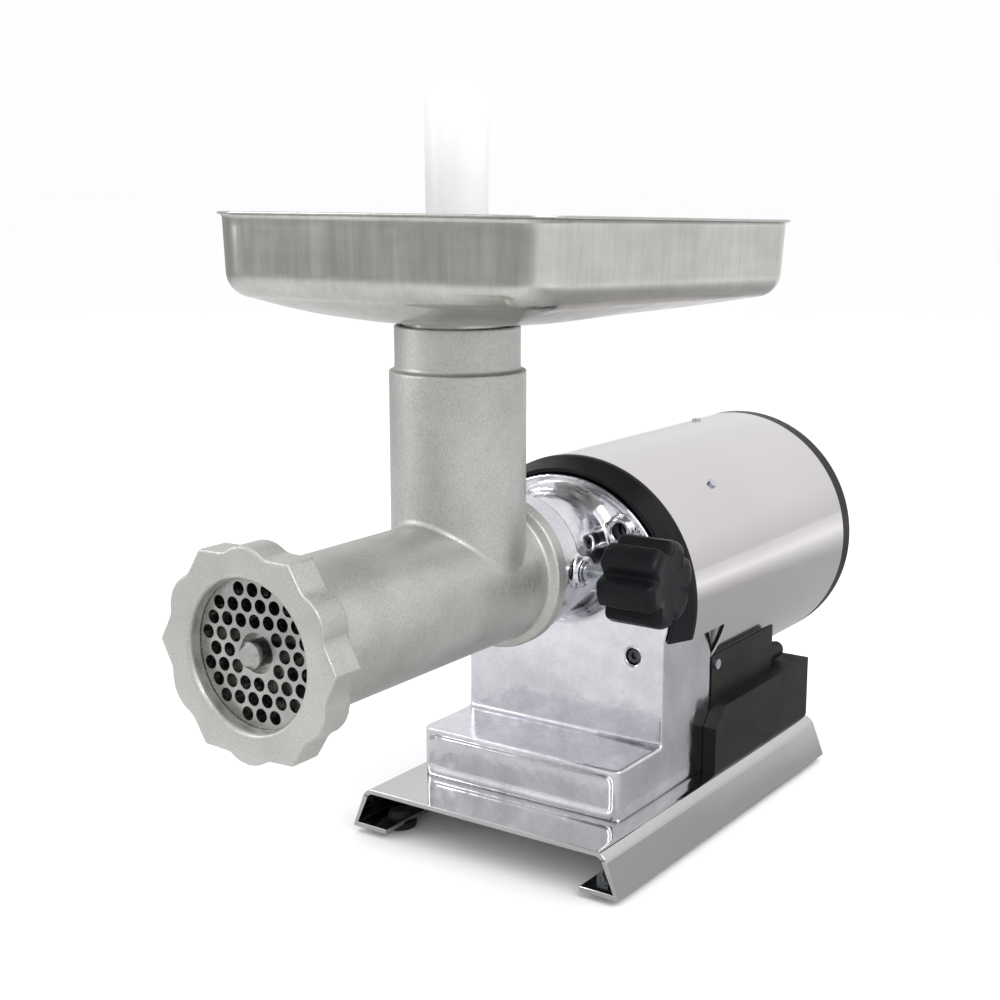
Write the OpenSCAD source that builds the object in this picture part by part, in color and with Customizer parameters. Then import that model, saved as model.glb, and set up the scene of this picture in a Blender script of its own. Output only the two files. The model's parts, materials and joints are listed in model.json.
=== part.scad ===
// Electric meat grinder: clamp-in grinding head, geared motor in a drum cover, folded steel base.
// Every machine place below is measured from the axis of the feed neck: X to the operator's
// right, Y towards the motor, Z up from the surface that the feet stand on.

/* [Grinding head] */
// Height of the barrel axis above the table
barrel_z = 171.2; // [168:0.2:176]
// Outside diameter of the barrel
barrel_od = 76; // [72:0.5:80]
// Wall of the barrel
barrel_wall = 5; // [4:0.5:6]
// Distance from the neck axis forward to the front face of the ring nut
ring_reach = 165.8; // [135:0.2:200]
// Distance from the neck axis back to the socket face of the gear housing
socket_y = 42; // [40:0.5:48]
// Outside diameter of the feed neck
neck_od = 72.4; // [68:0.2:76]
// Height of the step near the top of the neck
neck_step_z = 287.7; // [250:0.5:345]
// Height of the turned spigot above that step
neck_spigot_h = 23.3; // [15:0.5:30]
// Bore of the feed throat
throat_d = 54; // [48:0.5:56]

/* [Plate, knife and ring nut] */
// Diameter of the hole plate
plate_d = 82; // [78:0.5:84]
// Thickness of the hole plate
plate_t = 8; // [6:0.5:10]
// Diameter of each grinding hole
plate_hole_d = 6.8; // [3:0.1:7]
// Distance between neighbouring grinding holes
plate_pitch = 8.6; // [8:0.1:10]
// Opening in the front of the ring nut
ring_opening_d = 72; // [66:0.5:76]
// Thickness of the front lip of the ring nut
ring_lip = 8; // [6:0.5:10]
// Length of the ring nut along the barrel
ring_len = 17.8; // [15:0.2:22]
// Diameter over the six pointed lugs of the ring nut
ring_lug_d = 109; // [106:0.5:116]

/* [Tray and stomper] */
// Width of the tray's pan
tray_w = 210; // [160:1:260]
// Length of the tray's pan
tray_l = 271; // [225:1:330]
// Distance from the neck axis forward to the front wall of the pan
tray_front = 80; // [60:1:100]
// Height of the pan's rim above the underside of its collar
tray_h = 55.5; // [45:0.5:70]
// Height of the pan's straight wall
tray_wall_h = 44; // [36:0.5:48]
// Corner radius of the pan
tray_corner = 25; // [15:1:40]
// Sheet thickness of the pan
tray_sheet = 1.5; // [1:0.1:2]
// Lean of the tray towards the motor in its loose socket, in degrees
tray_lean = 1.5; // [0:0.1:1.6]
// Diameter of the stomper's handle
stomper_d = 33; // [28:0.5:38]
// Height of the top of the stomper above the table
stomper_top_z = 436.7; // [400:0.5:500]

/* [Gear housing] */
// Height of the underside of the drum above the table
drum_under_z = 62.2; // [61:0.2:64]
// Diameter of the round front of the gear housing
housing_d = 144; // [142:0.5:150]
// Distance from the neck axis back to the housing's front wall
housing_y = 106; // [103:0.5:109]
// Depth of the gear housing from front to back
housing_depth = 60; // [58:0.5:72]
// Width of the pedestal and its foot
pedestal_w = 138; // [118:1:140]
// Distance from the neck axis back to the front of the foot
foot_y = 56.7; // [45:0.5:60]
// Height of the top of the foot
foot_top_z = 60; // [52:0.5:70]
// Diameter of the clamp stud
stud_d = 10; // [8:0.5:12]
// Diameter of the clamp knob
knob_d = 49; // [42:0.5:56]

/* [Gears] */
// Module of the first pair of gears
module_1 = 1.25; // [1.25]
// Teeth of the motor pinion
teeth_1 = 13; // [13]
// Teeth of the intermediate gear
teeth_2 = 41; // [41]
// Module of the second pair of gears
module_2 = 2; // [2]
// Teeth of the intermediate pinion
teeth_3 = 12; // [12]
// Teeth of the output gear
teeth_4 = 29; // [29]
// Backlash of each pair, measured along the pitch circle
backlash = 0.24; // [0.16:0.02:0.4]

/* [Motor] */
// Outside diameter of the drum cover
drum_d = 162.4; // [158:0.2:165]
// Length of the drum cover
drum_len = 213.9; // [200:0.5:260]
// Sheet thickness of the drum cover
drum_sheet = 1.2; // [0.8:0.1:2]
// Depth of the rear cap
cap_depth = 16; // [12:0.5:24]
// Length of the rotor and stator stacks
stack_len = 80; // [70:1:84]
// Diameter of the rotor
rotor_d = 75; // [65:0.5:80]

/* [Base and electrical box] */
// Width of the base plate across its top bends
base_w = 170; // [166:1:200]
// Width of the base plate across the bottoms of its legs
base_foot_w = 184; // [180:1:216]
// Length of the base plate
base_l = 273; // [262:1:320]
// Distance from the neck axis back to the front edge of the base plate
base_y = 17.4; // [10:0.2:25]
// Height of the top of the base plate
base_h = 29.7; // [26:0.1:36]
// Sheet thickness of the base plate
base_sheet = 3; // [2:0.5:4]
// Width of the electrical box
box_w = 156; // [150:1:164]
// Height of the lower part of the electrical box
box_top_z = 70; // [64:0.5:76]
// Distance from the neck axis back to the rear of the electrical box
box_back_y = 292; // [285:1:300]
// Bore of the cable gland
gland_bore_d = 8; // [5:0.5:8]

/* [Hidden] */
$fn = 72;

// clearances
running = 0.05;
gap = 0.3;
cut = 1;

motor_z = drum_under_z + drum_d / 2;

// head
barrel_r = barrel_od / 2;
bore_r = barrel_r - barrel_wall;
plate_y = ring_lip - ring_reach;
seat_y = plate_y + plate_t;
plate_proud = 1;
mouth_y = plate_y + plate_proud;
mouth_r = plate_d / 2 + barrel_wall;
mouth_back_y = ring_len - ring_reach + 1;
mouth_cone = 7;
ring_bore_r = mouth_r + running;
collar_r = barrel_r + 5.5;
collar_len = 9;
spigot_r = 30;
spigot_len = 37.5;
neck_top_z = neck_step_z + neck_spigot_h;
spigot_od = neck_od - 5.9;
throat_r = throat_d / 2;
sleeve_r = throat_r + 2.2;
sleeve_wall = 1.8;
sleeve_len = 20;
sleeve_play = 0.8;
shank_r = 13;
bush_r = 17;
drive_cavity_r = 20;
barrel_back_y = socket_y - 4.5;
tang = 16;
tang_play = 0.3;
auger_back_y = barrel_back_y - 3.5;
auger_play = 1;
knife_t = 10;
knife_square = 13;
spindle_r = 6.5;
auger_front_y = seat_y + knife_t + 0.5;
flight_turns = 4;

// tray
tray_z = neck_top_z + spigot_od / 2 * sin(tray_lean) + 0.15;
pan_floor_z = 1;
collar_wall_r = spigot_od / 2;
pan_draft = 1.5;
pan_fillet = 14;
pan_belly_r = 45;
lip_out = 2.5;

// gear train: the intermediate axis lies where both centre distances meet
d_1 = module_1 * (teeth_1 + teeth_2) / 2;
d_2 = module_2 * (teeth_3 + teeth_4) / 2;
rise = barrel_z - motor_z;
mid_rise = (d_1 * d_1 - d_2 * d_2 + rise * rise) / (2 * rise);
mid_x = -sqrt(d_1 * d_1 - mid_rise * mid_rise);
mid_z = motor_z + mid_rise;
to_mid = atan2(mid_z - motor_z, mid_x);
mid_to_out = atan2(barrel_z - mid_z, -mid_x);
pressure = 25;
addendum = 0.8;
dedendum = 1.05;
flank_steps = 5;

// gear housing and its shafts
housing_r = housing_d / 2;
housing_back_y = housing_y + housing_depth;
front_wall = 8;
chamber_y = housing_y + front_wall;
chamber_r = housing_r - 6;
shaft_r = 12.5;
bearing_r = 23.5;
bearing_w = 12;
seal_r = 19;
seal_w = 6;
bearing_b_y = chamber_y - bearing_w - 0.5;
bearing_a_y = bearing_b_y - bearing_w - 1.5;
seal_y = bearing_a_y - seal_w - 1;
socket_floor_y = seal_y - 1;
shaft_head_y = socket_y + 19;
shaft_head_r = 16;
gear_4_y = chamber_y + 1;
gear_4_w = 16;
gear_2_y = gear_4_y + gear_4_w + 5;
gear_2_w = 12;
pocket_depth = 5;
journal_r = 6;
journal_bush_r = 8.5;
clamp_y = socket_y + 19;
clamp_boss_r = 9;
clamp_boss_x = 43.5;
knob_x = 59;
knob_len = 39;
knob_hub_len = 4;
knob_hub_r = 8;
knob_lobes = 6;
boss_r = 40;
boss_neck_r = 36;
collar_w = 20;
boss_flare = 14;
rim_end = 12;
panel_edge = 5;
panel_depth = 1.2;

// motor
drum_r = drum_d / 2;
drum_y = housing_y + 16.5;
drum_back_y = drum_y + drum_len;
cover_y = housing_back_y + 1;
cover_t = 7;
motor_bearing_r = 20;
motor_shaft_r = 8.5;
frame_y = cover_y + cover_t;
frame_r = 69;
frame_wall = 4;
stack_y = frame_y + 22;
shield_y = stack_y + stack_len + 22;
shield_t = 12;
rear_bearing_r = 17.5;
rear_shaft_r = 7.5;
rear_bearing_w = 11;
rod_radius = drum_r - 8;
rod_r = 2.5;
rod_angles = [15, 165, 225, 315];
fan_y = shield_y + shield_t + 4;
fan_r = 50;
fan_w = 14;
cap_back_y = drum_back_y + cap_depth;
cap_wall = 3;
post_radius = 62;
post_r = 5;

// electrical box
box_y = housing_back_y - 9;
saddle_w = pedestal_w + 1;
box_slope = 12;
box_screw_z = motor_z - sqrt(pow(drum_r + gap, 2) - pow((pedestal_w + 1) / 2, 2)) - 6.4;
saddle_back_y = housing_back_y + 86;
box_wall = 2.5;
drum_seat_r = drum_r + gap;
button_y = box_back_y - 24;
button_r = 6;
button_rise = 4;
rocker_y = (box_y + box_back_y) / 2;
rocker_z = (base_h + box_top_z) / 2;
gland_x = saddle_w / 2 - box_wall - (gland_bore_d / 2 + 2) - gap;
gland_r = gland_bore_d / 2 + 2;
gland_z = box_top_z + gland_r + 0.5;
gland_len = 27;

// base
leg_r = 8;
flange_z = 4;
flange_in = 24;
foot_r = 11;
foot_inset = 24;

// the model's origin is under the middle of its length
front_y = -ring_reach;
mid_y = (cap_back_y + front_y) / 2;

steel = [0.66, 0.66, 0.63];
mirror_steel = [0.78, 0.77, 0.77];
cast = [0.66, 0.67, 0.64];
polished = [0.85, 0.85, 0.88];
black = [0.12, 0.12, 0.12];
zinc = [0.7, 0.74, 0.78];
dark_steel = [0.45, 0.45, 0.46];

module in_frame() {
    translate([0, -mid_y, 0]) children();
}

// a cylinder along Y from y0 to y1
module ycyl(r, y0, y1, x = 0, z = barrel_z) {
    translate([x, y1, z]) rotate([90, 0, 0]) cylinder(r = r, h = y1 - y0);
}

// a cylinder along X from x0 to x1
module xcyl(r, x0, x1, y, z) {
    translate([x0, y, z]) rotate([0, 90, 0]) cylinder(r = r, h = x1 - x0);
}

module yring(r_out, r_in, y0, y1, x = 0, z = barrel_z) {
    difference() {
        ycyl(r_out, y0, y1, x, z);
        ycyl(r_in, y0 - cut, y1 + cut, x, z);
    }
}

// a flat outline in X and Z, thick from y0 to y1
module yplate(y0, y1, x = 0, z = 0) {
    translate([x, y1, z]) rotate([90, 0, 0]) linear_extrude(y1 - y0) children();
}

// a turned shape about the Y axis: its outline is given as [radius, y]
module yturn(points, x = 0, z = barrel_z) {
    translate([x, 0, z]) rotate([-90, 0, 0]) rotate_extrude() polygon(points);
}

module xz_box(x0, x1, y0, y1, z0, z1) {
    translate([x0, y0, z0]) cube([x1 - x0, y1 - y0, z1 - z0]);
}

module rounded_square(w, l, r) {
    square([w - 2 * r, l], center = true);
    square([w, l - 2 * r], center = true);
    for (sx = [-1, 1], sy = [-1, 1]) translate([sx * (w / 2 - r), sy * (l / 2 - r)]) circle(r);
}

function turned(p, a) = [p[0] * cos(a) - p[1] * sin(a), p[0] * sin(a) + p[1] * cos(a)];
function involute(a) = tan(a) * 180 / PI - a;

// one gear tooth: half its angle at each radius follows the involute of the base circle
function tooth_half(n, m, r) = 90 / n - backlash / 4 / (m * n / 2) * 180 / PI + involute(pressure)
    - involute(acos(min(1, m * n / 2 * cos(pressure) / r)));
function gear_tooth(n, m) = let (
        rp = m * n / 2,
        root = rp - dedendum * m,
        start = max(rp * cos(pressure), root),
        tip = rp + addendum * m,
        radii = [for (k = [0:flank_steps]) start + (tip - start) * k / flank_steps])
    concat([[root, -tooth_half(n, m, start)]],
        [for (k = [0:flank_steps]) [radii[k], -tooth_half(n, m, radii[k])]],
        [for (k = [flank_steps:-1:0]) [radii[k], tooth_half(n, m, radii[k])]],
        [[root, tooth_half(n, m, start)]]);
function gear_outline(n, m) = [for (i = [0:n - 1], p = gear_tooth(n, m))
    [p[0] * cos(p[1] + 360 * i / n), p[0] * sin(p[1] + 360 * i / n)]];

module gear(n, m, y0, w, x, z, phase, bore) {
    difference() {
        yplate(y0, y0 + w, x, z) rotate(phase) polygon(gear_outline(n, m));
        ycyl(bore, y0 - cut, y0 + w + cut, x, z);
    }
}

// ---------- base ----------

// the base's cross-section, drawn in by t on every side but the bottom
function base_outline(t) = let (
        top = base_h - t,
        half_top = base_w / 2 - t,
        half_low = base_foot_w / 2 - t,
        r = max(leg_r - t, 1),
        lean = atan2(half_low - half_top, top - flange_z))
    concat([[half_low, flange_z]],
        [for (k = [0:6]) let (a = lean + (90 - lean) * k / 6)
            [half_top - r + r * cos(a), top - r + r * sin(a)]],
        [for (k = [6:-1:0]) let (a = lean + (90 - lean) * k / 6)
            [-half_top + r - r * cos(a), top - r + r * sin(a)]],
        [[-half_low, flange_z]]);

module base_plate() in_frame() color(mirror_steel) difference() {
    union() {
        yplate(base_y, base_y + base_l) difference() {
            polygon(base_outline(0));
            polygon(base_outline(base_sheet));
        }
        for (s = [-1, 1]) yplate(base_y, base_y + base_l)
            translate([s * (base_foot_w / 2 - 0.5 - flange_in / 2), flange_z + base_sheet / 2])
                square([flange_in, base_sheet], center = true);
    }
    for (s = [-1, 1], y = foot_places()) translate([s * foot_x(), y, 0])
        cylinder(r = foot_r / 2 + running, h = flange_z + 2 * base_sheet);
    for (s = [-1, 1], y = bolt_places()) translate([s * bolt_x(), y, flange_z + 2 * base_sheet])
        cylinder(r = 4.3, h = base_h);
}

function foot_x() = base_foot_w / 2 - foot_inset + 8;
function foot_places() = [base_y + foot_inset, base_y + base_l - foot_inset];
function bolt_x() = pedestal_w / 2 - 17;
function bolt_places() = [foot_y + 18, housing_back_y - 18];

module base_feet() in_frame() color([0.08, 0.08, 0.08])
    for (s = [-1, 1], y = foot_places()) translate([s * foot_x(), y, 0]) {
        cylinder(r1 = foot_r - 1, r2 = foot_r, h = flange_z);
        cylinder(r = foot_r / 2, h = flange_z + base_sheet);
        translate([0, 0, flange_z + base_sheet]) cylinder(r1 = foot_r / 2 + 1.5, r2 = foot_r / 2, h = 3);
    }

// ---------- gear housing ----------

module housing_outline(r, w, low_z) {
    translate([0, motor_z]) circle(r);
    translate([-w / 2, low_z]) square([w, motor_z - low_z]);
}

module gearbox_housing() in_frame() color(polished) difference() {
    union() {
        translate([0, (foot_y + housing_back_y) / 2, base_h]) linear_extrude(foot_top_z - base_h)
            rounded_square(pedestal_w, housing_back_y - foot_y, 5);
        yplate(housing_y, housing_back_y) housing_outline(housing_r - 3, pedestal_w, base_h);
        ycyl(housing_r, housing_y, housing_y + 6, 0, motor_z);
        difference() {
            yring(housing_r, housing_r - 4.5, housing_y - 3, housing_y + cut, 0, motor_z);
            xz_box(-drum_r, drum_r, housing_y - 4, housing_y - 0.01, 0, motor_z + rim_end);
        }
        intersection() {
            yturn([[0, socket_y], [boss_r - 1.5, socket_y], [boss_r, socket_y + 1.5],
                [boss_r, socket_y + collar_w - 1.5], [boss_r - 1.5, socket_y + collar_w],
                [boss_neck_r, socket_y + collar_w], for (a = [0:15:75])
                    [boss_neck_r + boss_flare * (1 - cos(a)), housing_y + 1 - boss_flare * (1 - sin(a))],
                [boss_neck_r + boss_flare, housing_y + 1], [0, housing_y + 1]]);
            union() {
                ycyl(boss_r + 1, socket_y - cut, socket_y + collar_w + 1);
                ycyl(housing_r - 0.6, socket_y + collar_w, housing_y + 2, 0, motor_z);
            }
        }
        xcyl(clamp_boss_r, spigot_r + 3, clamp_boss_x, clamp_y, barrel_z);
        for (p = screw_recesses()) if (pad_y(p) < housing_y) ycyl(8, pad_y(p), housing_y + cut, p[0], p[1]);
    }
    // the socket, the seal, the bearings and the gear chamber
    ycyl(spigot_r + running, socket_y - cut, socket_floor_y);
    ycyl(seal_r, socket_floor_y - cut, bearing_a_y - 0.5);
    ycyl(bearing_r, bearing_a_y - 0.5, chamber_y + cut);
    difference() {
        ycyl(chamber_r, chamber_y, housing_back_y + cut, 0, motor_z);
        for (p = screw_recesses()) ycyl(6.5, chamber_y - cut, housing_back_y + 2 * cut, p[0], p[1]);
    }
    ycyl(journal_bush_r, chamber_y - pocket_depth, chamber_y + cut, mid_x, mid_z);
    xcyl(stud_d / 2 + running, 0, clamp_boss_x + cut, clamp_y, barrel_z);
    for (p = screw_recesses()) ycyl(5, pad_y(p) - cut, chamber_y - 3, p[0], p[1]);
    for (p = screw_recesses()) ycyl(2.6, housing_y, housing_back_y + cut, p[0], p[1]);
    oil_plug_place() cylinder(r = 3.5 + running, h = 10);
    // a plain sunk panel in the front of the foot
    translate([0, foot_y + panel_depth, (base_h + foot_top_z) / 2]) rotate([90, 0, 0])
        linear_extrude(panel_depth + cut)
            rounded_square(pedestal_w - 2 * panel_edge, foot_top_z - base_h - 2 * panel_edge + 2, 4);
    // the hollow of the pedestal and of the foot
    xz_box(-pedestal_w / 2 + 7, pedestal_w / 2 - 7, chamber_y, housing_back_y + cut,
        foot_top_z - 7, motor_z - chamber_r - 4);
    xz_box(-pedestal_w / 2 + 7, pedestal_w / 2 - 7, bolt_places()[0] + 14, bolt_places()[1] - 14,
        base_h - cut, foot_top_z - 7);
    for (s = [-1, 1], y = bolt_places()) translate([s * bolt_x(), y, base_h - cut])
        cylinder(r = 4 + running, h = 18 + cut);
}

// places of the recessed screws in the housing's front, as [x, z]
function screw_recesses() = [for (s = [1, -1]) [s * 48, motor_z - 31.9], for (s = [1, -1]) [s * 41.7, motor_z + 43.6]];
// the upper two screws lie near the boss, on pads that stand further out
function pad_y(p) = p[1] > barrel_z ? housing_y - 8 : housing_y;
module oil_plug_place() {
    translate([0, socket_y + spigot_len, barrel_z]) rotate([0, -20, 0])
        translate([boss_neck_r - 3, 0, 0]) rotate([0, 90, 0]) children();
}

module recess_screws() in_frame() color(dark_steel) for (p = screw_recesses()) difference() {
    union() {
        ycyl(4.2, chamber_y - 6, chamber_y - 3, p[0], p[1]);
        ycyl(2.5, chamber_y - 3.01, cover_y + cover_t - 1, p[0], p[1]);
    }
    yplate(chamber_y - 7, chamber_y - 4.5, p[0], p[1]) circle(r = 2.2, $fn = 6);
}

module oil_plug() in_frame() color(dark_steel) oil_plug_place() difference() {
    cylinder(r = 3.5, h = 2.6);
    translate([0, 0, 1]) cylinder(r = 1.7, h = 3, $fn = 6);
}

module housing_bolts() in_frame() color(zinc)
    for (s = [-1, 1], y = bolt_places()) translate([s * bolt_x(), y, base_h - base_sheet - 5.3]) {
        cylinder(r = 7.5, h = 5.3, $fn = 6);
        cylinder(r = 4, h = 5.3 + base_sheet + 16);
    }

module cover_gasket() in_frame() color([0.25, 0.3, 0.28])
    yring(housing_r - 3.5, chamber_r, housing_back_y, cover_y, 0, motor_z);

module gearbox_cover() in_frame() color(cast) difference() {
    union() {
        ycyl(drum_r - 4, cover_y, frame_y, 0, motor_z);
        ycyl(motor_bearing_r + 4, gear_2_y + gear_2_w + 2, cover_y + cut, 0, motor_z);
        ycyl(journal_bush_r + 3, gear_2_y + gear_2_w + 2, cover_y + cut, mid_x, mid_z);
    }
    ycyl(motor_bearing_r, gear_2_y + gear_2_w + 4, frame_y + cut, 0, motor_z);
    ycyl(motor_shaft_r + 3, gear_2_y, frame_y + cut, 0, motor_z);
    ycyl(journal_bush_r, gear_2_y, gear_2_y + gear_2_w + 14, mid_x, mid_z);
    for (a = rod_angles) ycyl(rod_r + running, cover_y - cut, frame_y + cut,
        rod_radius * cos(a), motor_z + rod_radius * sin(a));
    for (p = screw_recesses()) ycyl(2.6, cover_y - cut, frame_y + cut, p[0], p[1]);
    xz_box(-drum_r, drum_r, cover_y - cut, frame_y + cut, 0, motor_z - frame_r);
}

module shaft_seal() in_frame() color(black) difference() {
    ycyl(seal_r, seal_y, seal_y + seal_w);
    ycyl(shaft_r + running, seal_y - cut, seal_y + seal_w + cut);
    yturn([[shaft_r + 2, seal_y - cut], [seal_r - 2, seal_y - cut], [seal_r - 2, seal_y + 1],
        [shaft_r + 2, seal_y + 1]]);
}

module bearing(r_out, r_in, y, w, z) {
    difference() {
        yring(r_out, r_in + running, y, y + w, 0, z);
        for (end = [y - cut, y + w - 1]) yring(r_out - 3, r_in + 3, end, end + 1 + cut, 0, z);
    }
}

module output_bearings() in_frame() color(steel) for (y = [bearing_a_y, bearing_b_y])
    bearing(bearing_r, shaft_r, y, bearing_w, barrel_z);

module intermediate_bushes() in_frame() color([0.72, 0.52, 0.3]) {
    yring(journal_bush_r, journal_r + running, chamber_y - pocket_depth, chamber_y, mid_x, mid_z);
    yring(journal_bush_r, journal_r + running, gear_2_y + gear_2_w + 3, gear_2_y + gear_2_w + 14,
        mid_x, mid_z);
}

module output_shaft() in_frame() color(steel) difference() {
    union() {
        ycyl(shaft_head_r, shaft_head_y, socket_floor_y - 0.5);
        ycyl(shaft_r, socket_floor_y - 1, gear_4_y + gear_4_w + 3);
    }
    yplate(shaft_head_y - cut, shaft_head_y + 20, 0, barrel_z)
        square(tang + 2 * tang_play, center = true);
    xz_box(-3, 3, gear_4_y + 1, gear_4_y + gear_4_w - 1, barrel_z + shaft_r - 3.5, barrel_z + 2 * shaft_r);
    yring(shaft_r + cut, shaft_r - 1.2, gear_4_y + gear_4_w + 0.5, gear_4_y + gear_4_w + 2);
}

module output_key() in_frame() color(dark_steel)
    xz_box(-3, 3, gear_4_y + 1, gear_4_y + gear_4_w - 1, barrel_z + shaft_r - 3.5, barrel_z + shaft_r + 2.5);

module output_circlip() in_frame() color(dark_steel) difference() {
    yring(shaft_r + 3, shaft_r - 1.1, gear_4_y + gear_4_w + 0.6, gear_4_y + gear_4_w + 1.9);
    xz_box(-4, 4, gear_4_y + gear_4_w, gear_4_y + gear_4_w + 3, barrel_z - 2 * shaft_r, barrel_z);
}

module output_gear() in_frame() color(steel) difference() {
    gear(teeth_4, module_2, gear_4_y, gear_4_w, 0, barrel_z, mid_to_out + 180 + 180 / teeth_4,
        shaft_r + 0.02);
    xz_box(-3.05, 3.05, gear_4_y - cut, gear_4_y + gear_4_w + cut, barrel_z, barrel_z + shaft_r + 2.6);
}

module intermediate_shaft() in_frame() color(steel) {
    ycyl(journal_r, chamber_y - pocket_depth + 0.5, gear_2_y + gear_2_w + 13, mid_x, mid_z);
}

module intermediate_gear() in_frame() color(steel)
    gear(teeth_2, module_1, gear_2_y, gear_2_w, mid_x, mid_z, to_mid + 180 + 180 / teeth_2,
        journal_r + 0.02);

module intermediate_pinion() in_frame() color(steel)
    gear(teeth_3, module_2, gear_4_y, gear_4_w + 3, mid_x, mid_z, mid_to_out, journal_r + 0.02);

// ---------- motor ----------

module motor_shaft() in_frame() color(steel) {
    ycyl(5, gear_2_y - 2, gear_2_y + gear_2_w + 4, 0, motor_z);
    ycyl(motor_shaft_r, gear_2_y + gear_2_w + 3.9, shield_y - 1, 0, motor_z);
    ycyl(rear_shaft_r, shield_y - 1.1, fan_y + fan_w + 1, 0, motor_z);
}

module motor_pinion() in_frame() color(steel)
    gear(teeth_1, module_1, gear_2_y, gear_2_w, 0, motor_z, to_mid, 5.02);

module rotor_core() in_frame() color([0.5, 0.48, 0.46]) difference() {
    union() {
        ycyl(rotor_d / 2, stack_y, stack_y + stack_len, 0, motor_z);
        yring(rotor_d / 2 - 2, rotor_d / 2 - 12, stack_y - 6, stack_y + stack_len + 6, 0, motor_z);
    }
    ycyl(motor_shaft_r + 0.02, stack_y - 10, stack_y + stack_len + 10, 0, motor_z);
}

module stator_core() in_frame() color([0.4, 0.4, 0.42]) difference() {
    ycyl(frame_r - frame_wall, stack_y, stack_y + stack_len, 0, motor_z);
    ycyl(rotor_d / 2 + 0.5, stack_y - cut, stack_y + stack_len + cut, 0, motor_z);
    for (a = [0:15:345]) translate([0, stack_y - cut, motor_z]) rotate([0, a, 0])
        xz_box(rotor_d / 2 + 3, frame_r - frame_wall - 8, 0, stack_len + 2 * cut, -1.8, 1.8);
}

module stator_windings() in_frame() color([0.72, 0.38, 0.18]) {
    for (y = [stack_y - 14, stack_y + stack_len]) yturn([[rotor_d / 2 + 4, y], [frame_r - frame_wall - 7, y],
        [frame_r - frame_wall - 5, y + 3], [frame_r - frame_wall - 5, y + 11],
        [frame_r - frame_wall - 8, y + 14], [rotor_d / 2 + 6, y + 14], [rotor_d / 2 + 4, y + 11]], 0, motor_z);
    for (a = [0:15:345]) translate([0, stack_y - cut, motor_z]) rotate([0, a, 0])
        xz_box(rotor_d / 2 + 5, frame_r - frame_wall - 9, 0, stack_len + 2 * cut, -1.5, 1.5);
}

module motor_frame() in_frame() color(cast) {
    yring(frame_r, frame_r - frame_wall, frame_y, shield_y, 0, motor_z);
    for (s = drum_screws()) difference() {
        translate([0, s[1], motor_z]) rotate([0, -s[0], 0])
            translate([frame_r - 1, 0, 0]) rotate([0, 90, 0])
                cylinder(r = 4.5, h = drum_r - drum_sheet - frame_r + 0.6);
        translate([0, s[1], motor_z]) rotate([0, -s[0], 0])
            translate([frame_r + 1, 0, 0]) rotate([0, 90, 0]) cylinder(r = 1.55, h = drum_r);
    }
}

// small screws through the drum: [angle above +X, y]
function drum_screws() = [[97, shield_y - 7.6], [47, drum_y + 64.6], [133, drum_y + 64.6]];

module cover_screws() in_frame() color(zinc) for (s = drum_screws())
    translate([0, s[1], motor_z]) rotate([0, -s[0], 0]) translate([frame_r + 4, 0, 0]) rotate([0, 90, 0]) {
        cylinder(r = 1.5, h = drum_r - frame_r - 3.9);
        translate([0, 0, drum_r - frame_r - 4]) cylinder(r = 3, h = 1.4);
    }

module motor_bearings() in_frame() color(steel) {
    bearing(motor_bearing_r, motor_shaft_r, gear_2_y + gear_2_w + 4.5, bearing_w, motor_z);
    bearing(rear_bearing_r, rear_shaft_r, shield_y + 0.5, rear_bearing_w, motor_z);
}

module rear_shield() in_frame() color(cast) difference() {
    ycyl(drum_r - 4, shield_y, shield_y + shield_t, 0, motor_z);
    ycyl(rear_bearing_r, shield_y - cut, shield_y + shield_t + cut, 0, motor_z);
    for (a = rod_angles) ycyl(rod_r + running, shield_y - cut, shield_y + shield_t + cut,
        rod_radius * cos(a), motor_z + rod_radius * sin(a));
    for (a = [0:90:270]) ycyl(1.6, shield_y - cut, shield_y + shield_t + cut,
        post_radius * cos(a), motor_z + post_radius * sin(a));
    for (a = [22.5:45:337.5]) ycyl(9, shield_y - cut, shield_y + shield_t + cut,
        40 * cos(a), motor_z + 40 * sin(a));
}

module tie_rods() in_frame() color(zinc) for (a = rod_angles) {
    ycyl(rod_r, cover_y + 1, shield_y + shield_t + 2, rod_radius * cos(a), motor_z + rod_radius * sin(a));
    ycyl(4, shield_y + shield_t, shield_y + shield_t + 3.5, rod_radius * cos(a),
        motor_z + rod_radius * sin(a));
}

module cooling_fan() in_frame() color([0.2, 0.2, 0.2]) difference() {
    union() {
        ycyl(fan_r, fan_y, fan_y + 2, 0, motor_z);
        ycyl(14, fan_y, fan_y + fan_w, 0, motor_z);
        for (a = [0:40:320]) translate([0, fan_y, motor_z]) rotate([0, a, 0])
            xz_box(12, fan_r - 2, 1, fan_w - 0.5, -1, 1);
    }
    ycyl(rear_shaft_r + 0.02, fan_y - cut, fan_y + fan_w + cut, 0, motor_z);
}

// everything that the drum leaves free for the pedestal below it
module pedestal_notch(play, y1) {
    xz_box(-pedestal_w / 2 - play, pedestal_w / 2 + play, housing_y - 10, y1, 0, motor_z);
}

module motor_front_ring() in_frame() color(black) difference() {
    yturn([[housing_r - 2.9, housing_y + 6.1], [housing_r + 0.6, housing_y + 6.1],
        [housing_r + 0.6, housing_y + 0.5], [housing_r + 2.5, housing_y - 0.5],
        [drum_r - 0.3, drum_y - 3], [drum_r, drum_y], [housing_r - 2.9, drum_y]], 0, motor_z);
    xz_box(-drum_r - cut, drum_r + cut, housing_y - 10, drum_y + cut, 0, motor_z - 35);
    pedestal_notch(gap, drum_y + cut);
}

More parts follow.
